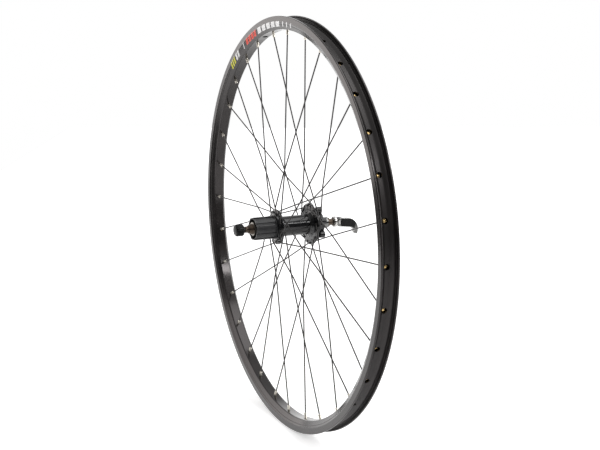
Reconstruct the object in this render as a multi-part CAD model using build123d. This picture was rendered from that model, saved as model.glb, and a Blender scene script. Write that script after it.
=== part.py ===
from build123d import *

import os
from math import atan2, cos, degrees, pi, radians, sin

# Rear bicycle wheel without a tyre: double-wall rim, crossed spokes, disc-brake hub with a splined
# freehub, and a quick-release skewer. Millimetres. The wheel's axis is Y with the drive side at -Y,
# the origin is the wheel's centre and +Z is up. Angles run from +Z towards +X, the way it rolls.

# Rim
bead_seat_diameter = 622.0
flange_height = 6.5         # bead seat to the rim's outer edge
rim_width = 28.0
rim_height = 20.2           # rim's outer edge to the spoke bed
side_band = 9.5             # upright band of the side wall, below the outer edge
bed_width = 16.0            # flat spoke bed
flange_wall = 1.8           # at the bead seat
hook_depth = 1.0            # how far the bead hook leans in
seat_width = 4.4            # bead seat, inwards from the flange wall
well_width = 9.4
well_depth = 4.0            # below the bead seat
bed_wall = 1.8
well_wall = 1.5
side_wall = 1.9
access_hole = 8.4           # nipple access, in the well
valve_hole = 8.5
valve_step = -1.5           # in spoke steps from the top, between two spokes that part
drill_sides = 8             # flats that stand for a drilled hole's round

# Spokes and nipples
spoke_count = 32
crosses = 3
spoke_diameter = 2.0
spoke_head = 4.4
spoke_head_height = 1.2
spoke_clearance = 0.15      # radial, in the hub flange and in the nipple
elbow_height = 1.25         # spoke's axis above the flange face where it bends
elbow_lift = 1.35           # added outside a flange, so that the spoke clears its edge
wire_sides = 6              # flats that stand for round wire
weave_gap = 0.3             # between two spokes where they pass
nipple_stagger = 0.9        # drilling offset towards each flange
nipple_diameter = 4.0
nipple_head = 5.6
nipple_head_height = 2.0
nipple_length = 12.0
nipple_clearance = 0.3      # radial, in the rim
nipple_seat = 0.5           # head above the bed's inner face, for the spoke's slant
thread_length = 8.0         # spoke inside the nipple
wheel_turn = -0.47          # how far the wheel has rolled in its rest pose

# Hub shell
drive_flange_pcd = 47.2
drive_flange_y = -20.2
disc_flange_pcd = 57.4
disc_flange_y = 35.6
flange_edge = 3.5           # flange beyond the middle of its spoke holes
flange_thickness = 3.0
barrel_diameter = 31.0
root_wall = 1.6             # over the ratchet, where the barrel swells to a flange
root_length = 4.0
collar_wall = 2.1           # drive-side collar over the ratchet
collar_end = -25.8
disc_neck_diameter = 36.0
rotor_pcd = 44.0
rotor_bolts = 6
rotor_turn = 12.0           # first bolt from the top, the way the wheel rolls
rotor_thread = 4.2          # tapping size of the rotor screws
rotor_boss = 10.4
rotor_boss_length = 7.4
rotor_inset = 15.3          # rotor face inside the locknut face
pilot_diameter = 34.0
shell_end = 53.4
shell_bore = 23.0

# Axle
over_locknuts = 135.0
axle_diameter = 10.0
axle_end_diameter = 9.9
axle_end = 5.5              # beyond each locknut
axle_bore = 5.6
slip = 0.03                 # radial, on what is threaded or pushed on
running = 0.06              # radial and axial, on what turns
air = 0.4                   # axial, between what turns and what stands

# Sealed bearings
bearing_diameter = 26.0
bearing_width = 8.0
drive_bearing = -18.4       # outboard faces of the hub's two bearings
disc_bearing = 53.0
freehub_bearing = -51.6     # outboard face of the outer freehub bearing
freehub_bearing_gap = 7.0   # between the two freehub bearings
sleeve_diameter = 13.6      # spacers between the inner rings

# End caps and locknuts
drive_cap_diameter = 20.8
drive_cap_thickness = 1.4
drive_locknut_diameter = 12.8
drive_locknut_base = 16.0
drive_locknut_length = 6.8
disc_cap_diameter = 17.4
disc_locknut_diameter = 14.8
disc_locknut_length = 3.2

# Freehub
freehub_end = -60.0
freehub_diameter = 35.0
spline_depth = 1.2
spline_count = 9
spline_angle = 22.0
key_spline_angle = 12.0     # the one narrow spline
stop_diameter = 36.8        # shoulder that the cassette sits against
stop_thickness = 1.6
lockring_bore = 30.6
lockring_depth = 6.0
carrier_gap = 1.3           # radial, from the pawl carrier to the teeth
carrier_bore = 18.0

# Ratchet and pawls
ratchet_teeth = 24
ratchet_diameter = 38.4
ratchet_wall = 1.8          # behind the roots of the teeth
tooth_height = 1.5
ratchet_width = 6.8
valley_share = 0.3          # of each tooth's pitch
pawl_count = 3
pawl_inset = 3.5            # pivots inside the tips of the teeth
pawl_pivot = 3.6
pawl_reach = 7.0            # pivot to tip
pawl_lift = 24.0            # engaged pawl above the tangent, degrees
pawl_drop = 18.0            # turn that folds it clear of the teeth
pawl_nose = 1.6
pawl_width = 5.6
pawl_play = 0.3
spring_wire = 0.8
spring_inset = 2.0          # spring ring inside the tips of the teeth

# Skewer
rod_diameter = 5.0
rod_clearance = 0.3         # in the lever's slot
nut_face = 76.4             # inner face of the nut, from the wheel's centre
nut_length = 12.6
nut_diameter = 18.4
nut_sides = 12
nut_chamfer = 1.5
nut_taper = 45.0
nut_recess = 14.4
nut_recess_depth = 2.6
nut_thread = 9.5            # rod inside the nut
coil_wire = 0.9
coil_turns = 2.5
coil_steps = 10             # straights in each turn
coil_small = 7.2            # mean diameter at the axle
coil_large = 12.4           # mean diameter at the nut or cup
coil_gap = 0.9              # from the axle's end, for the cup's travel

# Lever and cam
pivot_y = 87.0              # lever's pivot, from the wheel's centre
cam_lift = 2.4              # over half a turn
cam_rest = 7.2              # pivot to the cup at rest
lever_closed = -60.0        # lever's turn from rest to closed
lever_open = 95.0
lever_width = 14.0
lever_reach = 28.2          # pivot to tip, outwards
lever_drop = 21.2           # pivot to tip, downwards
lever_tip = 1.6
back_reach = 14.0           # end of the back's straight, from the pivot
back_rise = 4.6
belly_reach = 17.5          # end of the belly's straight, from the pivot
belly_drop = 9.8
beak_reach = 23.6           # middle of the tip's inner curve, from the pivot
beak_drop = 14.0
cam_arcs = 3
grip_thickness = 1.2
grip_margin = 0.9           # bright edge round each grip
grip_radius = 19.0          # rounded end of each grip
grip_centre = 5.5           # outwards and down from the pivot
cross_barrel = 8.0          # barrel across the lever that the rod screws into
cup_diameter = 17.0
cup_height = 3.2
cup_recess = 14.4
cup_base = 1.3

# Places worked out from those sizes
rim_radius = bead_seat_diameter / 2 + flange_height
bed_radius = rim_radius - rim_height
seat_radius = bead_seat_diameter / 2
well_radius = seat_radius - well_depth
step_angle = 360 / spoke_count
nipple_tail = nipple_length - nipple_head_height - bed_wall - nipple_seat
locknut_face = over_locknuts / 2
axle_half = locknut_face + axle_end
rotor_face = locknut_face - rotor_inset
axle_seat = axle_diameter / 2 + slip
rod_seat = rod_diameter / 2 + slip
bearing_seat = bearing_diameter / 2 + running
sleeve_radius = sleeve_diameter / 2
drive_shoulder = drive_bearing + bearing_width
disc_shoulder = disc_bearing - bearing_width
freehub_bearing_2 = freehub_bearing + bearing_width + freehub_bearing_gap
freehub_shoulder = freehub_bearing_2 + bearing_width
stop_face = collar_end - air
carrier_end = drive_bearing - air
drive_cap_face = -locknut_face + drive_locknut_length
ratchet_y = (collar_end + drive_bearing) / 2
ratchet_root = ratchet_diameter - 2 * ratchet_wall
ratchet_tip = ratchet_root - 2 * tooth_height
carrier_diameter = ratchet_tip - 2 * carrier_gap
pawl_pivot_radius = ratchet_tip / 2 - pawl_inset
spring_ring_radius = ratchet_tip / 2 - spring_inset
collar_diameter = ratchet_diameter + 2 * collar_wall
lift_rate = cam_lift / pi
cup_seat = pivot_y - cam_rest - running


def polar(radius, angle, y=0.0):
    return Vector(radius * sin(radians(angle)), y, radius * cos(radians(angle)))


def at_angle(angle, shape):
    return Rot(0, angle, 0) * shape


def turned(*points):
    # Solid of revolution about the wheel's axis, from (radius, y) points.
    return revolve(make_face(Polyline(*points, close=True)), Axis.Y)


def ring(outer, inner, y_start, y_end):
    return turned((inner, y_start), (outer, y_start), (outer, y_end), (inner, y_end))


def wheel_plane(y):
    # Sketch plane across the axis: local x is X, local y is Z, and extrusion runs towards -Y.
    return Plane.XZ.offset(-y)


def prism(start, end, radius, sides, clear=False):
    # Many-sided bar from start to end, with its corners, or its flats when clear, at that radius.
    plane = Plane(start, z_dir=end - start)
    return extrude(plane * RegularPolygon(radius, sides, major_radius=not clear), (end - start).length)


# Spoke

class Spoke:
    # A spoke's places: rim hole, flange hole, elbow and the outer crossing where it is woven.
    def __init__(self, index):
        self.drive = index % 2 == 0
        self.outside = index % 4 in (0, 3)
        lean = -1 if self.outside else 1
        sweep_angle = crosses * 2 * step_angle
        self.angle = index * step_angle
        self.hub_angle = self.angle - lean * sweep_angle
        outward = -1 if self.drive else 1
        side = outward if self.outside else -outward
        flange_y = drive_flange_y if self.drive else disc_flange_y
        self.flange_radius = (drive_flange_pcd if self.drive else disc_flange_pcd) / 2
        self.flange_centre = polar(self.flange_radius, self.hub_angle, flange_y)
        across = Vector(0, side, 0)
        self.head = self.flange_centre - across * (flange_thickness / 2)
        rise = elbow_height + elbow_lift if self.outside else elbow_height
        self.elbow = self.flange_centre + across * (flange_thickness / 2 + rise)
        self.rim_hole = polar(bed_radius, self.angle, nipple_stagger * outward)
        self.crossing = self.outer_crossing(lean, sweep_angle) - across * (spoke_diameter + weave_gap) / 2
        self.axis = (self.crossing - self.rim_hole).normalized()

    def outer_crossing(self, lean, sweep_angle):
        # The point of the straight line from flange to rim that lies one spoke step short of the rim.
        short, full = radians(step_angle), radians(sweep_angle)
        radius = sin(full) / (sin(full - short) / bed_radius + sin(short) / self.flange_radius)
        flange_flat = polar(self.flange_radius, self.hub_angle)
        crossing_flat = polar(radius, self.angle - lean * step_angle)
        rim_flat = polar(bed_radius, self.angle)
        share = (crossing_flat - flange_flat).length / (rim_flat - flange_flat).length
        return self.flange_centre + (self.rim_hole - self.flange_centre) * share

    def wire(self):
        end = self.rim_hole + self.axis * (nipple_tail - thread_length)
        path = Polyline(self.head, self.elbow, self.crossing, end)
        stem = (self.elbow - self.head).normalized()
        section = Plane(self.head, z_dir=stem) * RegularPolygon(spoke_diameter / 2, wire_sides)
        body = sweep(section, path=path, transition=Transition.RIGHT)
        return body + prism(self.head - stem * spoke_head_height, self.head, spoke_head / 2, wire_sides)

    def nipple(self):
        tail = self.rim_hole + self.axis * nipple_tail
        seat = self.rim_hole - self.axis * (bed_wall + nipple_seat)
        top = seat - self.axis * nipple_head_height
        bore = tail - self.axis * (thread_length + spoke_clearance)
        body = prism(tail, seat, nipple_diameter / 2, wire_sides)
        body += prism(seat, top, nipple_head / 2, wire_sides)
        return body - prism(tail, bore, spoke_diameter / 2 + spoke_clearance, wire_sides, clear=True)

    def flange_drill(self):
        reach = Vector(0, flange_thickness, 0)
        start, end = self.flange_centre - reach, self.flange_centre + reach
        return prism(start, end, spoke_diameter / 2 + spoke_clearance, wire_sides, clear=True)

    def rim_drill(self):
        start = self.rim_hole + self.axis * bed_wall
        end = self.rim_hole - self.axis * 2 * bed_wall
        return prism(start, end, nipple_diameter / 2 + nipple_clearance, wire_sides, clear=True)

    def access_drill(self):
        start, end = (polar(radius, self.angle) for radius in (well_radius - 2 * well_wall, seat_radius))
        return prism(start, end, access_hole / 2, drill_sides)


spokes = [Spoke(index) for index in range(spoke_count)]


def spoke_group(drive, outside):
    return Compound([s.wire() for s in spokes if s.drive == drive and s.outside == outside])


def nipple_group(drive):
    return Compound([s.nipple() for s in spokes if s.drive == drive])


# Rim

def rim_section():
    half = rim_width / 2
    inner = half - flange_wall
    side = [
        (bed_radius, bed_width / 2),
        (rim_radius - side_band, half),
        (rim_radius, half),
        (rim_radius, inner - hook_depth),
        (seat_radius, inner),
        (seat_radius, inner - seat_width),
        (well_radius, well_width / 2),
    ]
    other_side = [(radius, -y) for radius, y in reversed(side)]
    flare = (half - bed_width / 2) / (rim_height - side_band)
    chamber = []
    for radius in (bed_radius + bed_wall, well_radius - well_wall):
        reach = bed_width / 2 + flare * (radius - bed_radius) - side_wall
        chamber.append((radius, reach))
    other_chamber = [(radius, -y) for radius, y in reversed(chamber)]
    solid = make_face(Polyline(*side, *other_side, close=True))
    return solid - make_face(Polyline(*chamber, *other_chamber, close=True))


def make_rim():
    valve_angle = valve_step * step_angle
    valve_plane = Plane(polar(bed_radius - bed_wall, valve_angle), z_dir=polar(1, valve_angle))
    valve = extrude(valve_plane * Circle(valve_hole / 2), seat_radius - bed_radius + bed_wall)
    drills = [s.access_drill() for s in spokes] + [s.rim_drill() for s in spokes]
    return revolve(rim_section(), Axis.Y) - [valve, *drills]


# Hub shell

def make_hub_shell():
    thick = flange_thickness / 2
    barrel, root = barrel_diameter / 2, ratchet_diameter / 2 + root_wall
    collar, neck, pilot = collar_diameter / 2, disc_neck_diameter / 2, pilot_diameter / 2
    drive_rim, disc_rim = (pcd / 2 + flange_edge for pcd in (drive_flange_pcd, disc_flange_pcd))
    bore, ratchet_seat = shell_bore / 2, ratchet_diameter / 2 + slip
    body = turned(
        (collar, collar_end),
        (collar, drive_flange_y - thick),
        (drive_rim, drive_flange_y - thick),
        (drive_rim, drive_flange_y + thick),
        (root, drive_flange_y + thick),
        (barrel, drive_flange_y + thick + root_length),
        (barrel, disc_flange_y - thick - root_length),
        (root, disc_flange_y - thick),
        (disc_rim, disc_flange_y - thick),
        (disc_rim, disc_flange_y + thick),
        (neck, disc_flange_y + thick),
        (neck, rotor_face),
        (pilot, rotor_face),
        (pilot, shell_end),
        (bearing_seat, shell_end),
        (bearing_seat, disc_shoulder - running),
        (bore, disc_shoulder - running),
        (bore, drive_shoulder + running),
        (bearing_seat, drive_shoulder + running),
        (bearing_seat, drive_bearing),
        (ratchet_seat, drive_bearing),
        (ratchet_seat, collar_end),
    )
    plane = wheel_plane(rotor_face)
    spots = PolarLocations(rotor_pcd / 2, rotor_bolts, start_angle=90 - rotor_turn)
    body += [extrude(plane * spot * Circle(rotor_boss / 2), rotor_boss_length) for spot in spots]
    body -= [extrude(plane * spot * Circle(rotor_thread / 2), rotor_boss_length) for spot in spots]
    return body - [s.flange_drill() for s in spokes]


# Axle and what it carries

def make_axle():
    body, end, bore = axle_diameter / 2, axle_end_diameter / 2, axle_bore / 2
    return turned(
        (bore, -axle_half),
        (end, -axle_half),
        (end, -locknut_face),
        (body, -locknut_face),
        (body, locknut_face),
        (end, locknut_face),
        (end, axle_half),
        (bore, axle_half),
    )


def make_bearings():
    starts = (freehub_bearing, freehub_bearing_2, drive_bearing, disc_shoulder)
    return Compound([ring(bearing_diameter / 2, axle_seat, y, y + bearing_width) for y in starts])


def make_sleeve(y_start, y_end):
    return ring(sleeve_radius, axle_seat, y_start, y_end)


def make_drive_cap():
    inner_face = drive_cap_face + drive_cap_thickness
    return turned(
        (axle_seat, drive_cap_face),
        (drive_cap_diameter / 2, drive_cap_face),
        (drive_cap_diameter / 2, inner_face),
        (sleeve_radius, inner_face),
        (sleeve_radius, freehub_bearing),
        (axle_seat, freehub_bearing),
    )


def make_drive_locknut():
    return turned(
        (axle_seat, -locknut_face),
        (drive_locknut_diameter / 2, -locknut_face),
        (drive_locknut_base / 2, drive_cap_face),
        (axle_seat, drive_cap_face),
    )


def make_disc_cap():
    top = locknut_face - disc_locknut_length
    step = shell_end + air
    return turned(
        (axle_seat, disc_bearing),
        (sleeve_radius, disc_bearing),
        (sleeve_radius, step),
        (disc_cap_diameter / 2, step),
        (disc_cap_diameter / 2, top),
        (axle_seat, top),
    )


def make_disc_locknut():
    return ring(disc_locknut_diameter / 2, axle_seat, locknut_face - disc_locknut_length, locknut_face)


# Freehub and ratchet

def spline_sketch():
    outer = freehub_diameter / 2
    splines = Sketch()
    for index in range(spline_count):
        width = key_spline_angle if index == 0 else spline_angle
        middle = index * 360 / spline_count
        left, right = (polar(2 * outer, middle + side * width / 2) for side in (-1, 1))
        splines += make_face(Polyline((0, 0), (left.X, left.Z), (right.X, right.Z), close=True))
    wall_middle = (outer - spline_depth + lockring_bore / 2) / 2
    return (Circle(outer) - Circle(wall_middle)) & splines


def make_freehub_body():
    root = freehub_diameter / 2 - spline_depth
    stop_back = stop_face - stop_thickness
    lockring, carrier, bore = lockring_bore / 2, carrier_diameter / 2, carrier_bore / 2
    body = turned(
        (lockring, freehub_end),
        (root, freehub_end),
        (root, stop_back),
        (stop_diameter / 2, stop_back),
        (stop_diameter / 2, stop_face),
        (carrier, stop_face),
        (carrier, carrier_end),
        (bore, carrier_end),
        (bore, freehub_shoulder + running),
        (bearing_seat, freehub_shoulder + running),
        (bearing_seat, freehub_end + lockring_depth),
        (lockring, freehub_end + lockring_depth),
    )
    body += extrude(wheel_plane(stop_back) * spline_sketch(), stop_back - freehub_end)
    pockets = [at_angle(index * 360 / pawl_count, pawl_pocket()) for index in range(pawl_count)]
    return body - [*pockets, spring_groove(pawl_play)]


def pawl_tip():
    # Middle of the nose and the direction across it, in the wheel's plane with the pivot at the top.
    rise = radians(pawl_lift)
    along = Vector(cos(rise), sin(rise))
    return Vector(0, pawl_pivot_radius) + along * pawl_reach, Vector(-sin(rise), cos(rise))


def pawl_profile(play):
    pivot = Vector(0, pawl_pivot_radius)
    tip, across = pawl_tip()
    nose, heel = across * (pawl_nose / 2 + play), across * (pawl_pivot / 2 + play)
    tip = tip + (tip - pivot).normalized() * play
    arm = make_face(Polyline(pivot + heel, tip + nose, tip - nose, pivot - heel, close=True))
    return Pos(0, pawl_pivot_radius) * Circle(pawl_pivot / 2 + play) + arm


def make_pawl(index):
    body = extrude(wheel_plane(ratchet_y + pawl_width / 2) * pawl_profile(0), pawl_width)
    return at_angle(index * 360 / pawl_count, body - spring_groove(2 * pawl_play))


def pawl_pocket():
    # The room that the pawl takes up as it folds.
    swept = Sketch()
    for share in (0, 0.5, 1):
        fold = Pos(0, pawl_pivot_radius) * Rot(0, 0, -share * pawl_drop) * Pos(0, -pawl_pivot_radius)
        swept += fold * pawl_profile(pawl_play)
    return extrude(wheel_plane(ratchet_y + pawl_width / 2 + pawl_play) * swept, pawl_width + 2 * pawl_play)


def spring_groove(room):
    half = spring_wire / 2 + pawl_play
    floor = spring_ring_radius - spring_wire / 2 - room
    return ring(ratchet_tip / 2 + ratchet_width, floor, ratchet_y - half, ratchet_y + half)


def make_pawl_spring():
    half = spring_wire / 2
    return ring(spring_ring_radius + half, spring_ring_radius - half, ratchet_y - half, ratchet_y + half)


def make_ratchet_ring():
    tip, across = pawl_tip()
    corner = tip - across * (pawl_nose / 2)
    face_angle = degrees(atan2(corner.X, corner.Y)) + degrees(pawl_play / ratchet_root)
    pitch = 360 / ratchet_teeth
    points = []
    for tooth in range(ratchet_teeth):
        angle = face_angle + tooth * pitch
        points += [polar(ratchet_root / 2, angle), polar(ratchet_tip / 2, angle)]
        points.append(polar(ratchet_root / 2, angle + (1 - valley_share) * pitch))
    teeth = make_face(Polyline(*[(p.X, p.Z) for p in points], close=True))
    profile = Circle(ratchet_diameter / 2) - teeth
    return extrude(wheel_plane(ratchet_y + ratchet_width / 2) * profile, ratchet_width)


# Skewer

def make_skewer_rod():
    end = pivot_y + rod_diameter / 2
    return extrude(wheel_plane(end) * Circle(rod_diameter / 2), end + nut_face + nut_thread)


def make_skewer_nut():
    outer = nut_diameter / 2
    inner_end = -nut_face - nut_chamfer
    outer_end = -nut_face - nut_length + nut_chamfer
    body = extrude(wheel_plane(inner_end) * RegularPolygon(outer, nut_sides), inner_end - outer_end)
    end_faces = body.faces().sort_by(Axis.Y)
    body += [extrude(face, nut_chamfer, taper=nut_taper) for face in (end_faces[0], end_faces[-1])]
    recess = ring(nut_recess / 2, 0, -nut_face - nut_recess_depth, -nut_face)
    thread = ring(rod_seat, 0, -nut_face - nut_thread - air, -nut_face)
    return body - [recess, thread]


def make_coil(y_small, y_large):
    # Conical wire spring round the rod, wound from its small end.
    toward = 1 if y_large > y_small else -1
    first, last = y_small + toward * coil_wire / 2, y_large - toward * coil_wire / 2
    count = int(coil_turns * coil_steps)
    points = []
    for index in range(count + 1):
        share = index / count
        radius = (coil_small + share * (coil_large - coil_small)) / 2
        points.append(polar(radius, 360 * coil_turns * share, first + share * (last - first)))
    section = Plane(points[0], z_dir=points[1] - points[0]) * RegularPolygon(coil_wire / 2, 4)
    return sweep(section, path=Polyline(*points), transition=Transition.RIGHT)


def make_cam_cup():
    hole = rod_diameter / 2 + running
    lip = cup_seat - cup_height
    return turned(
        (hole, cup_seat - cup_base),
        (cup_recess / 2, cup_seat - cup_base),
        (cup_recess / 2, lip),
        (cup_diameter / 2, lip),
        (cup_diameter / 2, cup_seat),
        (hole, cup_seat),
    )


def cam_point(angle):
    # Point of the cam whose outward direction is that angle from +Y towards +Z. The lift is even.
    turn = radians(angle)
    reach = cam_rest + lift_rate * (turn - pi)
    return (reach * cos(turn) - lift_rate * sin(turn), reach * sin(turn) + lift_rate * cos(turn))


def lever_sketch():
    # Side outline about the pivot, local x along Y: the cam, the back, the tip and the belly.
    first, last, halves = 180 - lever_open, 180 - lever_closed, 2 * cam_arcs
    stops = [cam_point(first + (last - first) * index / halves) for index in range(halves + 1)]
    cam = [ThreePointArc(*stops[index:index + 3]) for index in range(0, halves, 2)]
    shoulder, tip = (back_reach, back_rise), (lever_reach, -lever_drop)
    heel, bend = (lever_reach - lever_tip, -lever_drop), (belly_reach, -belly_drop)
    straight = Line(stops[0], shoulder)
    back = TangentArc(shoulder, tip, tangent=straight % 1)
    beak = ThreePointArc(heel, (beak_reach, -beak_drop), bend)
    return make_face(cam + [straight, back, Line(tip, heel), beak, Line(bend, stops[-1])])


def lever_plane(x):
    return Plane((x, pivot_y, 0), x_dir=(0, 1, 0), z_dir=(1, 0, 0))


def grip_sketch():
    rounded = Pos(grip_centre, -grip_centre) * Circle(grip_radius)
    outer_half = Pos(lever_reach, 0) * Rectangle(2 * lever_reach, 4 * lever_drop)
    return offset(lever_sketch(), -grip_margin) & rounded & outer_half


def make_lever_grips():
    starts = (-lever_width / 2, lever_width / 2 - grip_thickness)
    return Compound([extrude(lever_plane(x) * grip_sketch(), grip_thickness) for x in starts])


def make_lever():
    half = lever_width / 2
    body = extrude(lever_plane(-half) * lever_sketch(), lever_width)
    bore = extrude(lever_plane(-half) * Circle(cross_barrel / 2 + running), lever_width)
    rod_room = rod_diameter / 2 + rod_clearance
    square = Rectangle(2 * lever_reach, 2 * lever_reach)
    past_open = Rot(0, 0, 180 - lever_open) * Pos(0, lever_reach - rod_room) * square
    past_closed = Rot(0, 0, -lever_closed) * Pos(0, lever_reach - rod_room) * square
    slot = extrude(lever_plane(-rod_room) * (past_open & past_closed), 2 * rod_room)
    return body - [*make_lever_grips().solids(), bore, slot]


def make_cam_barrel():
    half = lever_width / 2 - grip_thickness - running
    pin = extrude(lever_plane(-half) * Circle(cross_barrel / 2), 2 * half)
    rod = extrude(wheel_plane(pivot_y + cross_barrel) * Circle(rod_seat), 2 * cross_barrel)
    return pin - rod


# Every piece, wheel pieces turned to the rest pose
wheel_nodes = {
    "rim": make_rim(),
    "drive_spokes_outside": spoke_group(True, True),
    "drive_spokes_inside": spoke_group(True, False),
    "disc_spokes_outside": spoke_group(False, True),
    "disc_spokes_inside": spoke_group(False, False),
    "drive_nipples": nipple_group(True),
    "disc_nipples": nipple_group(False),
    "hub_shell": make_hub_shell(),
}
nodes = {name: at_angle(wheel_turn, shape) for name, shape in wheel_nodes.items()}
nodes |= {
    "ratchet_ring": make_ratchet_ring(),
    "axle": make_axle(),
    "bearings": make_bearings(),
    "hub_sleeve": make_sleeve(drive_shoulder, disc_shoulder),
    "drive_sleeve": make_sleeve(freehub_shoulder, drive_bearing),
    "freehub_sleeve": make_sleeve(freehub_bearing + bearing_width, freehub_bearing_2),
    "drive_cap": make_drive_cap(),
    "drive_locknut": make_drive_locknut(),
    "disc_cap": make_disc_cap(),
    "disc_locknut": make_disc_locknut(),
    "freehub_body": make_freehub_body(),
    "pawl_spring": make_pawl_spring(),
    "skewer_rod": make_skewer_rod(),
    "skewer_nut": make_skewer_nut(),
    "nut_coil": make_coil(-axle_half - running, -nut_face - nut_recess_depth),
    "cam_barrel": make_cam_barrel(),
    "cam_cup": make_cam_cup(),
    "cup_coil": make_coil(axle_half + coil_gap, cup_seat - cup_base),
    "lever": make_lever(),
    "lever_grips": make_lever_grips(),
}
for number in range(pawl_count):
    nodes[f"pawl_{number + 1}"] = make_pawl(number)

os.makedirs("parts", exist_ok=True)
for name, shape in nodes.items():
    export_step(shape, f"parts/{name}.step")
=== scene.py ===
from math import cos, pi, radians, sin, tan

import bmesh
import bpy
from mathutils import Matrix, Vector


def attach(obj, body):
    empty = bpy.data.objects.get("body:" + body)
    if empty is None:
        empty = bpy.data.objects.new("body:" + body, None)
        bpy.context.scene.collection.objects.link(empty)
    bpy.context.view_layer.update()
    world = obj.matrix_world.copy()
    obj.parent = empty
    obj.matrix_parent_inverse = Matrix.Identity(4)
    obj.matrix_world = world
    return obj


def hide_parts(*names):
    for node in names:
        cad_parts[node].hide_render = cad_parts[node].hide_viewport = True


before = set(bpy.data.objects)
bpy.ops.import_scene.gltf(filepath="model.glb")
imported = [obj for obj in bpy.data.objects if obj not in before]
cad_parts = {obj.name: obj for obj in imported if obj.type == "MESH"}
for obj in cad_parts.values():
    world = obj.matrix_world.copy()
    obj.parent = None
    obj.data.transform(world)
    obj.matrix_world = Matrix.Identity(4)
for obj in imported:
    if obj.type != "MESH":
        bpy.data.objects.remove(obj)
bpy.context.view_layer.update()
print("frame loaded:", len(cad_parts), "nodes")

# the wheel's axis is Y and its drive side faces -Y; the pieces' dictionaries hold mm and degrees
mm = 0.001
sharpAngle = radians(32)
weldDistance = 1e-7  # in metres
wheelTurn = -0.47  # how far the wheel has rolled
spokeCount = 32
spokeBed = 297.3  # rim's spoke bed, from the axle
nippleStagger = 0.9  # of the rim's holes towards each flange


# sockets and nodes

class Wire:
    # one socket of a node tree; arithmetic on it adds Math nodes
    def __init__(self, tree, socket=None):
        self.tree = tree
        self.socket = socket

    def node(self, kind, settings=None, inputs=None, out=0):
        made = self.tree.nodes.new(kind)
        for name, value in (settings or {}).items():
            setattr(made, name, value)
        pairs = inputs.items() if isinstance(inputs, dict) else enumerate(inputs or ())
        for key, value in pairs:
            for item in value if isinstance(value, list) else [value]:
                if isinstance(item, Wire):
                    self.tree.links.new(item.socket, made.inputs[key])
                elif item is not None:
                    made.inputs[key].default_value = item
        return Wire(self.tree, made.outputs[out])

    def math(self, operation, *others):
        return self.node("ShaderNodeMath", {"operation": operation}, (self, *others))

    def __add__(self, other):
        return self.math("ADD", other)

    def __sub__(self, other):
        return self.math("SUBTRACT", other)

    def __rsub__(self, other):
        return self.node("ShaderNodeMath", {"operation": "SUBTRACT"}, (other, self))

    def __mul__(self, other):
        return self.math("MULTIPLY", other)

    def __truediv__(self, other):
        return self.math("DIVIDE", other)

    __radd__ = __add__
    __rmul__ = __mul__

    def between(self, low, high):
        # 1 from low to high, 0 beyond
        return self.math("COMPARE", (low + high) / 2, (high - low) / 2)

    def blend(self, low, high):
        # smooth step from 0 at low to 1 at high
        settings = {"interpolation_type": "SMOOTHSTEP"}
        return self.node("ShaderNodeMapRange", settings, {"Value": self, "From Min": low, "From Max": high})

    def colours(self, first, second):
        # colour mixed from first to second by this value
        return self.node("ShaderNodeMix", {"data_type": "RGBA"}, {0: self, 6: first, 7: second}, 2)


def rgb(red, green, blue):
    return (red, green, blue, 1)


def grey(level):
    return rgb(level, level, level)


def vector(start, **axes):
    return start.node("ShaderNodeCombineXYZ", None, axes)


def along(place, axis):
    # how far a place lies along an axis
    return place.node("ShaderNodeVectorMath", {"operation": "DOT_PRODUCT"}, (place, axis), "Value")


# meshes

def settle(name, mesh, material=None):
    # new object at the origin, smooth with crisp edges
    if material:
        mesh.materials.clear()
        mesh.materials.append(material)
    mesh.shade_smooth()
    mesh.set_sharp_from_angle(angle=sharpAngle)
    made = bpy.data.objects.new(name, mesh)
    bpy.context.scene.collection.objects.link(made)
    return made


def baked(thing, name, material):
    # the evaluated object as a plain mesh, modifiers gone
    evaluated = thing.evaluated_get(bpy.context.evaluated_depsgraph_get())
    mesh = bpy.data.meshes.new_from_object(evaluated)
    bpy.data.objects.remove(thing)
    mesh.name = name
    return settle(name, mesh, material)


def meshOf(name, points, faces, edges=()):
    mesh = bpy.data.meshes.new(name)
    mesh.from_pydata([tuple(p) for p in points], edges, faces)
    return mesh


def welded(mesh):
    form = bmesh.new()
    form.from_mesh(mesh)
    bmesh.ops.remove_doubles(form, verts=form.verts, dist=weldDistance)
    form.to_mesh(mesh)
    form.free()
    return mesh


def polar(radius, angle, y=0.0):
    # the angle runs from the top the way the wheel rolls
    return Vector((radius * sin(radians(angle)), y, radius * cos(radians(angle))))


def arc(centre, first, last, steps):
    # points from first to last round a centre, the shorter way
    arm = first - centre
    turn = arm.angle_signed(last - centre)
    return [centre + Matrix.Rotation(-turn * step / steps, 2) @ arm for step in range(steps + 1)]


def rounded(corners, steps=4, hold=0.0):
    # closed outline with each corner (x, y, radius) turned to an arc; points that far beside an arc
    # keep the straight between two arcs flat under smooth shading
    outline = []
    total = len(corners)
    for index, (x, y, radius) in enumerate(corners):
        here = Vector((x, y))
        before, after = (Vector(corners[(index + step) % total][:2]) - here for step in (-1, 1))
        if radius <= 0:
            outline.append(here)
            continue
        half = before.angle(after) / 2
        reach = min(radius / tan(half), 0.48 * before.length, 0.48 * after.length)  # short of its neighbour
        radius = reach * tan(half)
        before.normalize()
        after.normalize()
        centre = here + (before + after).normalized() * (radius / sin(half))
        turned = arc(centre, here + before * reach, here + after * reach, steps)
        if hold:
            turned = [here + before * (reach + hold)] + turned + [here + after * (reach + hold)]
        outline += turned
    return outline


def clockwise(outline):
    following = outline[1:] + outline[:1]
    area = sum(here[0] * there[1] - here[1] * there[0] for here, there in zip(outline, following))
    return outline[::-1] if area > 0 else outline


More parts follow.
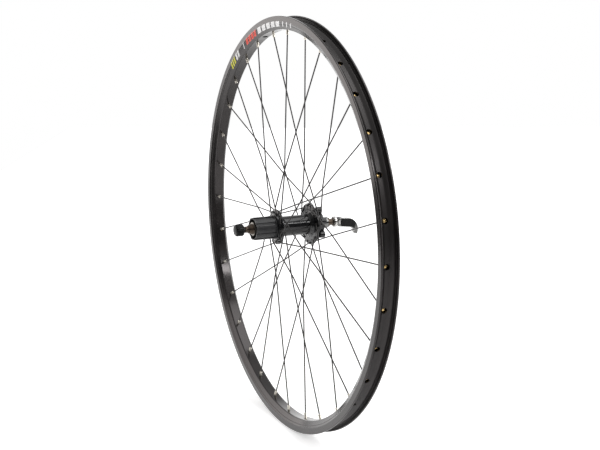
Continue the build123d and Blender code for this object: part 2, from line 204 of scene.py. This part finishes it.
def lathe(name, outer, segments, hollow=None):
    # closed (radius, y) outlines turned about the axle
    points, faces = [], []
    for outline in [clockwise(outer)] + ([clockwise(hollow)[::-1]] if hollow else []):
        start, total = len(points), len(outline)
        for turn in range(segments):
            angle = 2 * pi * turn / segments
            points += [(r * mm * sin(angle), y * mm, r * mm * cos(angle)) for r, y in outline]
        for turn in range(segments):
            here, there = start + turn * total, start + (turn + 1) % segments * total
            for index in range(total):
                follow = (index + 1) % total
                if outline[index][0] > 0 or outline[follow][0] > 0:
                    faces.append((here + index, here + follow, there + follow, there + index))
    return welded(meshOf(name, points, faces))


# geometry node trees

sizeKinds = {"whole": "NodeSocketInt", "size": "NodeSocketFloat", "place": "NodeSocketVector"}


def newTree(name, whole=(), size=(), place=()):
    # tree with a mesh input and named sizes, and a wire for each
    tree = bpy.data.node_groups.new(name, "GeometryNodeTree")
    tree.interface.new_socket("Geometry", in_out="OUTPUT", socket_type="NodeSocketGeometry")
    tree.interface.new_socket("Geometry", in_out="INPUT", socket_type="NodeSocketGeometry")
    for kind, names in (("whole", whole), ("size", size), ("place", place)):
        for label in names:
            tree.interface.new_socket(label, in_out="INPUT", socket_type=sizeKinds[kind])
    given = tree.nodes.new("NodeGroupInput")
    return tree, {socket.name: Wire(tree, socket) for socket in given.outputs if socket.name}


def closeTree(tree, geometry, material):
    real = geometry.node("GeometryNodeRealizeInstances", None, [geometry])
    painted = real.node("GeometryNodeSetMaterial", None, {"Geometry": real, "Material": material})
    tree.links.new(painted.socket, tree.nodes.new("NodeGroupOutput").inputs[0])


def useTree(thing, tree, sizes):
    # modifier with its inputs set by socket identifier
    modifier = thing.modifiers.new(tree.name, "NODES")
    modifier.node_group = tree
    for item in tree.interface.items_tree:
        if item.in_out == "INPUT" and item.name in sizes:
            modifier[item.identifier] = sizes[item.name]


def moved(geometry, **inputs):
    # by a Translation, Rotation or Scale
    return geometry.node("GeometryNodeTransform", None, {"Geometry": geometry, **inputs})


def wireAlong(path, given):
    # round wire along a curve
    section = path.node("GeometryNodeCurvePrimitiveCircle", None, {
        "Resolution": given["Sides"], "Radius": given["Wire"],
    })
    return path.node("GeometryNodeCurveToMesh", None, {
        "Curve": path, "Profile Curve": section, "Fill Caps": True,
    })


def aroundAxle(geometry, given):
    # copies of a geometry turned about the axle
    start = Wire(geometry.tree)
    spots = start.node("GeometryNodePoints", None, {"Count": given["Copies"]})
    turn = start.node("GeometryNodeInputIndex") * given["Step"] + given["First"]
    return spots.node("GeometryNodeInstanceOnPoints", None, {
        "Points": spots, "Instance": geometry, "Rotation": vector(start, Y=turn),
    })


def postTree(name, operation, material):
    # a ring of round posts that are added to a turned piece or drilled out of it
    sizes = ("First", "Step", "Radius", "Depth", "Pitch", "Offset", "Tilt")
    tree, given = newTree(name, ("Copies", "Sides"), sizes)
    start = given["Geometry"]
    post = start.node("GeometryNodeMeshCylinder", None, {
        "Vertices": given["Sides"], "Radius": given["Radius"], "Depth": given["Depth"],
    })
    place = vector(start, Y=given["Offset"], Z=given["Pitch"])
    ring = aroundAxle(moved(post, Translation=place, Rotation=vector(start, X=given["Tilt"])), given)
    posts = ring.node("GeometryNodeRealizeInstances", None, [ring])
    if operation == "DIFFERENCE":
        both = {"Mesh 1": start, "Mesh 2": posts}
    else:
        both = {"Mesh 2": [start, posts]}
    settings = {"operation": operation, "solver": "MANIFOLD"}
    closeTree(tree, start.node("GeometryNodeMeshBoolean", settings, both), material)
    return tree


def postRing(thing, tree, copies, first, step, radius, depth, pitch, offset=0.0, tilt=0.0, sides=28):
    # pitch is the way out from the axle, offset the way along it
    useTree(thing, tree, {
        "Copies": copies, "Sides": sides, "First": radians(first), "Step": radians(step),
        "Radius": radius * mm, "Depth": depth * mm, "Pitch": pitch * mm, "Offset": offset * mm,
        "Tilt": radians(tilt),
    })


def standIn(piece, body, slot, *nodes):
    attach(piece, body)
    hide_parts(*nodes)


# materials

def setInputs(shader, values):
    for socket, value in values.items():
        shader.inputs[socket].default_value = value


def newMaterial(name, colour, rough, metal=0.0, ior=1.5):
    made = bpy.data.materials.new(name)
    made.use_nodes = True
    shader = made.node_tree.nodes["Principled BSDF"]
    setInputs(shader, {"Base Color": colour, "Roughness": rough, "Metallic": metal, "IOR": ior})
    place = Wire(made.node_tree).node("ShaderNodeTexCoord", None, None, "Object")
    return made, shader, place


def connect(shader, socket, wire):
    wire.tree.links.new(wire.socket, shader.inputs[socket])


def noise(place, scale, detail=3.0, stretch=(1, 1, 1)):
    scaled = place.node("ShaderNodeMapping", None, {"Vector": place, "Scale": stretch})
    return scaled.node("ShaderNodeTexNoise", None, {"Vector": scaled, "Scale": scale, "Detail": detail})


def measures(place):
    # y, radius from the axle and angle from the top
    x, y, z = (place.node("ShaderNodeSeparateXYZ", None, [place], axis) / mm for axis in range(3))
    radius = (x * x + z * z).math("SQRT")
    return y, radius, x.math("ARCTAN2", z) * (180 / pi)


def bump(shader, height, strength, distance):
    connect(shader, "Normal", height.node("ShaderNodeBump", None, {
        "Height": height, "Strength": strength, "Distance": distance,
    }))


rimLook = {
    "plain": (rgb(0.012, 0.011, 0.011), 0.22), "dark": rgb(0.009, 0.0082, 0.008),
    "light": rgb(0.017, 0.015, 0.0145), "tint": rgb(1.0, 0.94, 0.94),
    # roughness, and what clouding, print and the tyre well add to it
    "rough": 0.1, "cloudRough": 0.08, "printRough": 0.2, "wellRough": 0.25,
    "wellRadius": 304.0, "wellHalf": 12.5,
}
# a band of slanted bars on the drive side
bars = {
    "low": 301.8, "high": 309.6, "middle": 305.7, "slant": 0.18, "side": -9.5,
    # (colour, first angle, last angle, pitch, share of the pitch)
    "fields": [
        (rgb(0.7, 0.68, 0.04), -40.6, -36.4, 1.4, 0.6),
        (grey(0.85), -36.0, -32.6, 1.7, 0.7),
        (grey(0.85), -28.9, -27.7, 1.2, 0.4),
        (rgb(0.78, 0.07, 0.04), -26.4, -17.8, 2.15, 0.76),
        (grey(0.9), -16.9, -0.4, 3.3, 0.74),
        (grey(0.9), 0.8, 8.6, 2.6, 0.22),
    ],
}


def rimFinish():
    made, shader, place = newMaterial("blackAnodisedRim", *rimLook["plain"])
    shader.inputs["Specular Tint"].default_value = rimLook["tint"]
    y, radius, angle = measures(place)
    cloud = noise(place, 25, 4)
    colour = cloud.blend(0.35, 0.7).colours(rimLook["dark"], rimLook["light"])
    band = radius.between(bars["low"], bars["high"]) * y.math("LESS_THAN", bars["side"])
    leaning = angle - (radius - bars["middle"]) * bars["slant"]
    printed = 0.0
    for paint, first, last, pitch, share in bars["fields"]:
        beat = ((leaning - first) / pitch).math("FRACT").math("LESS_THAN", share)
        shown = band * leaning.between(first, last) * beat
        colour = shown.colours(colour, paint)
        printed = shown + printed
    connect(shader, "Base Color", colour)
    half = rimLook["wellHalf"]
    inWell = radius.math("GREATER_THAN", rimLook["wellRadius"]) * y.between(-half, half)
    rough = rimLook["rough"] + cloud * rimLook["cloudRough"]
    connect(shader, "Roughness", rough + printed * rimLook["printRough"] + inWell * rimLook["wellRough"])
    return made


def plainFinish(name, colour, second, rough, metal=0.0, ior=1.5):
    made, shader, place = newMaterial(name, colour, rough, metal, ior)
    cloud = noise(place, 60, 4)
    grain = noise(place, 1500, 2)
    connect(shader, "Base Color", cloud.blend(0.35, 0.65).colours(colour, second))
    connect(shader, "Roughness", (rough - 0.06) + cloud * 0.09 + grain * 0.03)
    return made


def turnedFinish(name, colour, second, rough, metal):
    # fine lathe marks round the axle
    made, shader, place = newMaterial(name, colour, rough, metal)
    marks = noise(place, 4000, 1, (0.02, 1, 0.02))
    cloud = noise(place, 80, 3)
    connect(shader, "Base Color", cloud.blend(0.3, 0.7).colours(colour, second))
    connect(shader, "Roughness", (rough - 0.05) + marks * 0.1)
    bump(shader, marks, 0.25, 0.05 * mm)
    return made


nippleLook = {
    "plain": (rgb(0.75, 0.72, 0.66), 0.25, 0.7), "rough": 0.2, "cloudRough": 0.14,
    "plate": (rgb(0.74, 0.71, 0.64), rgb(0.6, 0.56, 0.49)), "brass": rgb(0.85, 0.6, 0.26),
    "bare": (298.5, 299.5),
}


def nippleFinish():
    # plated outside the rim, bare brass inside it
    made, shader, place = newMaterial("platedNipple", *nippleLook["plain"])
    radius = measures(place)[1]
    cloud = noise(place, 300, 3)
    plate = cloud.blend(0.3, 0.7).colours(*nippleLook["plate"])
    connect(shader, "Base Color", radius.blend(*nippleLook["bare"]).colours(plate, nippleLook["brass"]))
    connect(shader, "Roughness", nippleLook["rough"] + cloud * nippleLook["cloudRough"])
    return made


rimBlack = rimFinish()
spokeBlack = plainFinish("blackSpokeSteel", rgb(0.026, 0.024, 0.024), rgb(0.04, 0.037, 0.036), 0.4, ior=1.35)
nippleSilver = nippleFinish()
hubBlack = plainFinish("glossHub", rgb(0.004, 0.004, 0.0045), rgb(0.007, 0.007, 0.008), 0.13)
freehubBlack = turnedFinish("satinFreehub", rgb(0.016, 0.016, 0.018), rgb(0.026, 0.026, 0.027), 0.36, 0.0)
steelBright = turnedFinish("turnedSteel", rgb(0.55, 0.54, 0.52), rgb(0.62, 0.61, 0.6), 0.26, 1.0)
# dark brown steel for the axle, the locknuts and the coils
steelDark = turnedFinish("darkBrownSteel", rgb(0.06, 0.045, 0.035), rgb(0.11, 0.085, 0.065), 0.35, 0.9)
alloyBright = plainFinish("polishedAlloy", rgb(0.22, 0.22, 0.215), rgb(0.15, 0.15, 0.145), 0.15, 1.0)
alloyGrey = turnedFinish("greyAlloy", rgb(0.2, 0.185, 0.165), rgb(0.3, 0.28, 0.25), 0.33, 0.9)
nutBlack = plainFinish("blackNut", grey(0.004), grey(0.009), 0.2, ior=1.25)
gripBlack = plainFinish("gripPlastic", grey(0.006), grey(0.01), 0.42, ior=1.25)
print("materials ready")

nodeFinish = [
    (rimBlack, "rim"),
    (spokeBlack, "drive_spokes_outside drive_spokes_inside disc_spokes_outside disc_spokes_inside"),
    (nippleSilver, "drive_nipples disc_nipples"),
    (hubBlack, "hub_shell"),
    (freehubBlack, "freehub_body"),
    (steelBright, "ratchet_ring bearings pawl_spring pawl_1 pawl_2 pawl_3 skewer_rod cam_barrel cam_cup"),
    (steelDark, "axle drive_locknut disc_locknut nut_coil cup_coil"),
    (alloyBright, "hub_sleeve drive_sleeve freehub_sleeve disc_cap lever"),
    (alloyGrey, "drive_cap"),
    (nutBlack, "skewer_nut"),
    (gripBlack, "lever_grips"),
]
for finish, names in nodeFinish:
    for name in names.split():
        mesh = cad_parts[name].data
        mesh.materials.clear()
        mesh.materials.append(finish)


# rim

rim = {
    "segments": 288, "hold": 0.15, "valveStep": -1.5,
    "access": {"radius": 4.2, "depth": 8.0, "pitch": 307.0},
    "nippleHole": {"radius": 2.3, "depth": 4.6, "pitch": 298.2, "sides": 16},
    "valve": {"radius": 4.25, "depth": 20.0, "pitch": 302.5},
    # (radius, y, rounding) of one side, from the spoke bed to the well
    "side": [
        (spokeBed, 8.0, 2.4), (308.0, 14.0, 3.2), (317.5, 14.0, 0.8), (317.5, 11.2, 0.7), (315.9, 11.0, 0.5),
        (314.4, 12.3, 0.7), (311.0, 12.2, 0.5), (311.0, 8.2, 2.6), (307.2, 3.6, 3.4),
    ],
    "chamber": [(299.1, 7.1, 0.8), (305.5, 10.7, 0.6)],
}


def bothSides(side):
    return side + [(radius, -y, rounding) for radius, y, rounding in reversed(side)]


def makeRim():
    section, chamber = (rounded(bothSides(rim[part]), hold=rim["hold"]) for part in ("side", "chamber"))
    made = settle("rimBlank", lathe("rimBlank", section, rim["segments"], chamber), rimBlack)
    drill = postTree("rimDrill", "DIFFERENCE", rimBlack)
    step = 360 / spokeCount
    postRing(made, drill, spokeCount, wheelTurn, step, **rim["access"])
    for first, side in ((0, -1), (step, 1)):
        ring = (spokeCount // 2, wheelTurn + first, 2 * step)
        postRing(made, drill, *ring, offset=side * nippleStagger, **rim["nippleHole"])
    postRing(made, drill, 1, wheelTurn + rim["valveStep"] * step, step, **rim["valve"])
    standIn(baked(made, "rimTurned", rimBlack), "wheel", "rim_black", "rim")


makeRim()
print("rim drilled")


# spokes and nipples

lacing = {
    "crosses": 3, "flange": 3.0, "elbow": 1.25, "lift": 1.35, "wire": 2.0, "weave": 0.3, "overrun": 0.3,
    "bend": 1.3, "bendSteps": 5, "sides": 12, "head": 2.2, "headHeight": 1.2,
    "headSegments": 16, "headRings": 8,
    "drive": {"radius": 23.6, "y": -20.2, "outward": -1},
    "disc": {"radius": 28.7, "y": 35.6, "outward": 1},
    # first spoke of each quarter of the set
    "first": {
        "drive_spokes_outside": 0, "disc_spokes_inside": 1,
        "drive_spokes_inside": 2, "disc_spokes_outside": 3,
    },
}
# how a quarter of the set goes round the axle
quarter = {
    "Copies": spokeCount // 4, "First": radians(wheelTurn), "Step": radians(4 * 360 / spokeCount),
}


def spokePath(index):
    # head, elbow, outer crossing and rim hole of a spoke
    flange = lacing["drive"] if index % 2 == 0 else lacing["disc"]
    outside = index % 4 in (0, 3)
    lean = -1 if outside else 1
    step = 360 / spokeCount
    sweep = lacing["crosses"] * 2 * step
    angle, hubAngle = index * step, index * step - lean * sweep
    across = Vector((0, flange["outward"] if outside else -flange["outward"], 0))
    middle = polar(flange["radius"], hubAngle, flange["y"])
    half = lacing["flange"] / 2
    head = middle - across * half
    elbow = middle + across * (half + lacing["elbow"] + (lacing["lift"] if outside else 0))
    rimHole = polar(spokeBed, angle, nippleStagger * flange["outward"])
    short, full = radians(step), radians(sweep)
    radius = sin(full) / (sin(full - short) / spokeBed + sin(short) / flange["radius"])
    crossFlat, hubFlat = polar(radius, angle - lean * step), polar(flange["radius"], hubAngle)
    share = (crossFlat - hubFlat).length / (polar(spokeBed, angle) - hubFlat).length
    crossing = middle + (rimHole - middle) * share - across * (lacing["wire"] + lacing["weave"]) / 2
    return head, elbow, crossing, rimHole


def spokeTree():
    # wire along a path with rounded bends and a domed head, repeated round the axle
    sizes = ("First", "Step", "Wire", "Bend", "Head", "Flat")
    tree, given = newTree("spokeWire", ("Copies", "Sides"), sizes, ("Place",))
    start = given["Geometry"]
    path = start.node("GeometryNodeMeshToCurve", None, [start])
    bent = path.node("GeometryNodeFilletCurve", {"mode": "POLY"}, {
        "Curve": path, "Count": lacing["bendSteps"], "Radius": given["Bend"], "Limit Radius": True,
    })
    dome = start.node("GeometryNodeMeshUVSphere", None, {
        "Segments": lacing["headSegments"], "Rings": lacing["headRings"], "Radius": given["Head"],
    })
    head = moved(dome, Translation=given["Place"], Scale=vector(start, X=1.0, Y=given["Flat"], Z=1.0))
    both = start.node("GeometryNodeJoinGeometry", None, {0: [wireAlong(bent, given), head]})
    closeTree(tree, aroundAxle(both, given), spokeBlack)
    return tree


def makeSpokes():
    tree = spokeTree()
    for name, index in lacing["first"].items():
        head, elbow, crossing, rimHole = spokePath(index)
        end = rimHole - (crossing - rimHole).normalized() * lacing["overrun"]
        points = [p * mm for p in (head, elbow, crossing, end)]
        path = settle("path", meshOf("path", points, (), [(0, 1), (1, 2), (2, 3)]))
        useTree(path, tree, {
            **quarter, "Sides": lacing["sides"], "Wire": lacing["wire"] / 2 * mm, "Bend": lacing["bend"] * mm,
            "Head": lacing["head"] * mm, "Flat": lacing["headHeight"] / lacing["head"], "Place": points[0],
        })
        side, *words = name.split("_")
        piece = baked(path, side + "".join(word.capitalize() for word in words), spokeBlack)
        standIn(piece, "wheel", "spoke_black", name)


makeSpokes()
print("spokes laced")

nipple = {
    "segments": 20, "arcSteps": 3,
    # (radius, distance from the rim hole towards the hub, rounding)
    "outline": [
        (0.0, 7.7, 0), (1.5, 7.7, 0.3), (2.0, 7.0, 0.3), (2.0, -2.3, 0.1), (3.1, -2.3, 0.2), (3.1, -6.2, 1.1),
        (0.0, -7.3, 0),
    ],
}


def nippleTree():
    tree, given = newTree("nippleRing", ("Copies",), ("First", "Step"))
    closeTree(tree, aroundAxle(given["Geometry"], given), nippleSilver)
    return tree


def makeNipples():
    tree = nippleTree()
    outline = [(radius, -inward) for radius, inward in rounded(nipple["outline"], nipple["arcSteps"])]
    for side, pair in (("drive", (0, 2)), ("disc", (1, 3))):
        form = bmesh.new()
        for index in pair:
            crossing, rimHole = spokePath(index)[2:]
            blank = lathe("blank", outline, nipple["segments"])
            turn = (rimHole - crossing).to_track_quat("Y", "Z").to_matrix().to_4x4()
            blank.transform(Matrix.Translation(rimHole * mm) @ turn)
            form.from_mesh(blank)
            bpy.data.meshes.remove(blank)
        mesh = bpy.data.meshes.new("nipplePair")
        form.to_mesh(mesh)
        form.free()
        made = settle("nipplePair", mesh)
        useTree(made, tree, quarter)
        standIn(baked(made, side + "Nipples", nippleSilver), "wheel", "nipple_silver", side + "_nipples")


makeNipples()
print("nipples seated")


# hub shell

hub = {
    "segments": 112, "rotorBolts": 6, "rotorTurn": 12.0,
    "rotor": {"pitch": 22.0, "offset": 48.5, "tilt": 90},
    "boss": {"radius": 5.2, "depth": 7.4, "sides": 36},
    "tapping": {"radius": 2.1, "depth": 9.4, "sides": 24},
    "spokeHole": {"radius": 1.3, "depth": 9.0, "tilt": 90, "sides": 16},
    # (radius, y, rounding), drive end first
    "outline": [
        (21.3, -25.8, 0.6), (21.3, -21.7, 0.9), (27.1, -21.7, 1.0), (27.1, -18.7, 1.0), (20.8, -18.7, 1.2),
        (15.5, -14.7, 2.5), (15.5, 30.1, 2.5), (20.8, 34.1, 1.2), (32.2, 34.1, 1.0), (32.2, 37.1, 1.0),
        (18.0, 37.1, 2.5), (18.0, 52.2, 0.4), (17.0, 52.2, 0.2), (17.0, 53.4, 0.4), (13.06, 53.4, 0.2),
        (13.06, 44.94, 0), (11.5, 44.94, 0), (11.5, -10.34, 0), (13.06, -10.34, 0), (13.06, -18.4, 0),
        (19.23, -18.4, 0), (19.23, -25.8, 0.3),
    ],
}


def makeHub():
    made = settle("hubBlank", lathe("hubBlank", rounded(hub["outline"]), hub["segments"]), hubBlack)
    add = postTree("hubBosses", "UNION", hubBlack)
    drill = postTree("hubDrill", "DIFFERENCE", hubBlack)
    ring = (hub["rotorBolts"], wheelTurn + hub["rotorTurn"], 360 / hub["rotorBolts"])
    postRing(made, add, *ring, **hub["rotor"], **hub["boss"])
    postRing(made, drill, *ring, **hub["rotor"], **hub["tapping"])
    step = 2 * 360 / spokeCount
    for side, first in (("drive", 0), ("disc", step / 2)):
        flange = lacing[side]
        postRing(made, drill, spokeCount // 2, wheelTurn + first, step, pitch=flange["radius"],
                 offset=flange["y"], **hub["spokeHole"])
    standIn(baked(made, "hubShell", hubBlack), "wheel", "hub_black", "hub_shell")


makeHub()
print("hub shell drilled")


# skewer nut and coils

nut = {
    "segments": 72, "flutes": 14,
    "flute": {"radius": 1.5, "depth": 30, "pitch": 9.9, "offset": -82.7, "tilt": 90, "sides": 14},
    # (radius, y, rounding), from the closed end
    "outline": [
        (0.0, -89.0, 0), (7.4, -89.0, 0.8), (9.2, -87.2, 0.8), (9.2, -77.6, 0.8), (8.3, -76.4, 0.4),
        (7.2, -76.4, 0), (7.2, -79.0, 0), (2.53, -79.0, 0), (2.53, -86.3, 0), (0.0, -86.3, 0),
    ],
}


def makeNut():
    made = settle("nutBlank", lathe("nutBlank", rounded(nut["outline"]), nut["segments"]), nutBlack)
    flute = postTree("nutFlutes", "DIFFERENCE", nutBlack)
    postRing(made, flute, nut["flutes"], 0, 360 / nut["flutes"], **nut["flute"])
    standIn(baked(made, "flutedNut", nutBlack), "nut", "nut_black", "skewer_nut")


coils = {
    "wire": 0.9, "turns": 2.5, "small": 7.2, "large": 12.4, "steps": 28, "sides": 12,
    # body: node, and y of its small and its large end
    "ends": {"nut": ("nut_coil", -73.06, -79.0), "cup": ("cup_coil", 73.9, 78.44)},
}


def coilTree():
    # conical wire spring along the axle
    sizes = ("Turns", "Small", "Large", "Height", "Start", "Wire", "Tilt")
    tree, given = newTree("coilWire", ("Sides", "Steps"), sizes)
    start = given["Geometry"]
    path = start.node("GeometryNodeCurveSpiral", None, {
        "Resolution": given["Steps"], "Rotations": given["Turns"], "Start Radius": given["Small"],
        "End Radius": given["Large"], "Height": given["Height"],
    })
    place = vector(start, Y=given["Start"])
    laid = moved(wireAlong(path, given), Translation=place, Rotation=vector(start, X=given["Tilt"]))
    closeTree(tree, laid, steelDark)
    return tree


def makeCoils():
    tree = coilTree()
    half = coils["wire"] / 2
    for body, (node, small, large) in coils["ends"].items():
        toward = 1 if large > small else -1
        made = settle("coil", meshOf("coil", [], []))
        useTree(made, tree, {
            "Sides": coils["sides"], "Steps": coils["steps"], "Turns": coils["turns"],
            "Small": coils["small"] / 2 * mm, "Large": coils["large"] / 2 * mm,
            "Height": (abs(large - small) - coils["wire"]) * mm, "Start": (small + toward * half) * mm,
            "Wire": half * mm, "Tilt": -toward * pi / 2,
        })
        standIn(baked(made, body + "Coil", steelDark), body, "dark_steel", node)


makeNut()
makeCoils()
print("nut and coils ready")


# lever

lever = {
    "pivot": 87.0, "width": 13.7, "bevel": 0.9, "bevelSteps": 3, "camRest": 7.2, "camLift": 2.4,
    "open": 95.0, "closed": -60.0, "slot": 5.6, "slotReach": 40, "bore": 8.12,
    "camSteps": 26, "arcSteps": 14, "boreSteps": 32,
    # outwards and up from the pivot
    "shoulder": (14.0, 4.6), "tip": (28.2, -21.2), "heel": (26.6, -21.2), "beak": (23.6, -14.0),
    "belly": (17.5, -9.8),
}


def centreOf(first, middle, last):
    # centre of the circle through three points
    one, two = middle - first, last - first
    doubled = 2 * one.cross(two)
    a, b = one.length_squared / doubled, two.length_squared / doubled
    return first + Vector((two.y * a - one.y * b, one.x * b - two.x * a))


def camPoint(angle):
    # even lift of the cam, its outward direction at that angle from outwards to up
    rate = lever["camLift"] / pi
    reach = lever["camRest"] + rate * (angle - pi)
    return Vector((reach * cos(angle) - rate * sin(angle), reach * sin(angle) + rate * cos(angle)))


def leverOutline():
    first, last = radians(180 - lever["open"]), radians(180 - lever["closed"])
    steps = lever["camSteps"]
    cam = [camPoint(first + (last - first) * step / steps) for step in range(steps + 1)]
    corners = ("shoulder", "tip", "heel", "beak", "belly")
    shoulder, tip, heel, beak, belly = (Vector(lever[corner]) for corner in corners)
    chord = tip - shoulder
    onward = (shoulder - cam[0]).normalized()
    across = Vector((-onward.y, onward.x))
    backCentre = shoulder + across * (chord.length_squared / (2 * chord.dot(across)))
    back = arc(backCentre, tip, shoulder, lever["arcSteps"])
    inner = arc(centreOf(belly, beak, heel), belly, heel, lever["arcSteps"])
    return cam + inner + back


def slotOutline():
    # room that the rod sweeps between the lever's two ends of travel
    turns = (radians(270 - lever["open"]), radians(90 - lever["closed"]))
    opened, shut = (Vector((cos(turn), sin(turn))) for turn in turns)
    up = Vector((-opened.y, opened.x))
    down = Vector((-shut.y, shut.x))
    up *= 1 if up.dot(shut) > 0 else -1
    down *= 1 if down.dot(opened) > 0 else -1
    corner = (opened + shut) * (-lever["slot"] / 2 / (1 + opened.dot(shut)))
    far = (opened + shut).normalized() * lever["slotReach"]
    upper = corner + up * lever["slotReach"]
    lower = corner + down * lever["slotReach"]
    return [corner, upper, upper + far, lower + far, lower]


def slab(name, outline, width):
    # outline about the pivot, outwards and up, given that width across
    half = width / 2 * mm
    total = len(outline)
    around = clockwise(outline)[::-1]
    points = [(side * half, (lever["pivot"] + y) * mm, z * mm) for side in (-1, 1) for y, z in around]
    faces = [tuple(range(total))[::-1], tuple(range(total, 2 * total))]
    faces += [(i, (i + 1) % total, (i + 1) % total + total, i + total) for i in range(total)]
    return meshOf(name, points, faces)


def makeLever():
    body = slab("leverBlank", leverOutline(), lever["width"])
    form = bmesh.new()
    form.from_mesh(body)
    rims = [edge for edge in form.edges if abs(edge.verts[0].co.x - edge.verts[1].co.x) < weldDistance]
    bmesh.ops.bevel(form, geom=rims, offset=lever["bevel"] * mm, segments=lever["bevelSteps"], profile=0.5,
                    affect="EDGES")
    form.to_mesh(body)
    form.free()
    made = settle("leverBlank", body)
    steps = lever["boreSteps"]
    circle = [polar(lever["bore"] / 2, 360 * step / steps) for step in range(steps)]
    bore = slab("barrelBore", [(point.x, point.z) for point in circle], 2 * lever["width"])
    cutters = [
        settle("rodSlot", slab("rodSlot", slotOutline(), lever["slot"])),
        settle("barrelBore", bore),
    ]
    for cutter in cutters:
        cut = made.modifiers.new(cutter.name, "BOOLEAN")
        cut.operation = "DIFFERENCE"
        cut.solver = "EXACT"
        cut.object = cutter
    piece = baked(made, "leverBody", alloyBright)
    for cutter in cutters:
        bpy.data.objects.remove(cutter)
    standIn(piece, "lever", "alloy", "lever")


makeLever()
print("lever ready")


# stage, with places in metres

camera = {
    "azimuth": 65.54, "elevation": 11.61, "distance": 1.742, "lens": 68.0, "sensor": 36.0,
    "shift": (0.0187, 0.0012), "clip": (0.01, 100),
}
stage = {
    "floor": -0.3176, "left": -1.1, "right": 2.4, "ahead": -1.7, "behind": 4.0,
    # the floor's own white, and its glow near the wheel and far from it
    "paper": 0.86, "near": 0.47, "far": 0.85, "reach": (0.5, 1.8),
    # the floor as reflections see it, on both sides of the wheel: painted light and painted shade, glowing
    # bright on the lamp side and dim on the shaded side
    "shadeSide": 0.1, "lampSide": 0.7, "sides": (0.15, -0.1),
    # even light, and the room, its ceiling and its backdrop as reflections see them
    "light": 0.6, "room": 0.12, "ceiling": 0.7, "rise": (0.3, 0.8), "backdrop": 2.0, "opening": (0.62, 0.84),
}
# name: (place, width, height, power, colour)
lamps = {
    "leftSoftbox": ((-1.496, -1.353, 0.38), 1.7, 1.35, 14.6, (1.0, 0.96, 0.94)),
    "rightSoftbox": ((0.74, 1.75, 0.25), 0.7, 1.3, 24, (1, 0.99, 0.98)),
    "rightStrip": ((1.54, 0.97, 1.23), 1.2, 0.2, 8, (1, 1, 1)),
    "topSoftbox": ((0.3, 0.8, 2.1), 1.3, 1.3, 12, (1, 1, 1)),
}


def viewBack():
    # from the wheel's centre to the camera
    a, e = radians(camera["azimuth"]), radians(camera["elevation"])
    return Vector((sin(a) * cos(e), -cos(a) * cos(e), sin(e)))


def seenRays(start):
    # 1 for rays that show a picture: straight, mirrored or through glass
    camRay, gloss, clear = (
        start.node("ShaderNodeLightPath", None, None, ray)
        for ray in ("Is Camera Ray", "Is Glossy Ray", "Is Transmission Ray")
    )
    return camRay.math("MAXIMUM", gloss).math("MAXIMUM", clear)


def makeFloor():
    a = radians(camera["azimuth"])
    away = Vector((-sin(a), cos(a), 0))
    across = Vector((cos(a), sin(a), 0))
    down = Vector((0, 0, stage["floor"]))
    ends = (("ahead", "left"), ("ahead", "right"), ("behind", "right"), ("behind", "left"))
    corners = [away * stage[far] + across * stage[side] + down for far, side in ends]
    floor = settle("floor", meshOf("floor", corners, [(0, 1, 2, 3)]))
    paper = bpy.data.materials.new("palePaper")
    paper.use_nodes = True
    shader = paper.node_tree.nodes["Principled BSDF"]
    setInputs(shader, {
        "Base Color": grey(stage["paper"]), "Roughness": 0.9, "Specular IOR Level": 0.1,
        "Emission Strength": 1.0,
    })
    start = Wire(paper.node_tree)
    place = start.node("ShaderNodeTexCoord", None, None, "Object")
    far = place.node("ShaderNodeVectorMath", {"operation": "LENGTH"}, [place], "Value")
    glow = far.blend(*stage["reach"]).colours(grey(stage["near"]), grey(stage["far"]))
    # painted light and painted shade for reflections: the floor glows brighter on the lamp side of the wheel
    # than on its shaded side
    side = along(place, across).blend(*stage["sides"])
    mirrored = side.colours(grey(stage["shadeSide"]), grey(stage["lampSide"]))
    straight = start.node("ShaderNodeLightPath", None, None, "Is Camera Ray")
    connect(shader, "Emission Color", seenRays(start).colours(grey(0), straight.colours(mirrored, glow)))
    floor.data.materials.append(paper)


def makeWorld():
    # white to the camera, a white backdrop in a dim room to reflections, even light to the rest
    world = bpy.data.worlds.new("studio")
    bpy.context.scene.world = world
    world.use_nodes = True
    start = Wire(world.node_tree)
    toward = start.node("ShaderNodeTexCoord", None, None, "Generated")
    height = toward.node("ShaderNodeSeparateXYZ", None, [toward], "Z")
    room = height.blend(*stage["rise"]).colours(grey(stage["room"]), grey(stage["ceiling"]))
    facing = along(toward, -viewBack()).blend(*stage["opening"])
    mirrored = facing.colours(room, grey(stage["backdrop"]))
    light = seenRays(start).colours(grey(stage["light"]), mirrored)
    straight = start.node("ShaderNodeLightPath", None, None, "Is Camera Ray")
    connect(world.node_tree.nodes["Background"], "Color", straight.colours(light, grey(1)))


def makeLamp(name, place, width, height, power, colour):
    data = bpy.data.lights.new(name, "AREA")
    data.shape = "RECTANGLE"
    data.size = width
    data.size_y = height
    data.energy = power
    data.color = colour
    lamp = bpy.data.objects.new(name, data)
    bpy.context.scene.collection.objects.link(lamp)
    lamp.location = place
    lamp.rotation_euler = (-Vector(place)).to_track_quat("-Z", "Y").to_euler()


def makeCamera():
    data = bpy.data.cameras.new("photoView")
    data.lens = camera["lens"]
    data.sensor_width = camera["sensor"]
    data.shift_x, data.shift_y = camera["shift"]
    data.clip_start, data.clip_end = camera["clip"]
    made = bpy.data.objects.new("photoView", data)
    bpy.context.scene.collection.objects.link(made)
    made.location = viewBack() * camera["distance"]
    made.rotation_euler = (-viewBack()).to_track_quat("-Z", "Y").to_euler()
    bpy.context.scene.camera = made


makeFloor()
makeWorld()
for name, settings in lamps.items():
    makeLamp(name, *settings)
makeCamera()
bpy.context.scene.view_settings.view_transform = "Standard"
print("stage, lamps and camera ready")
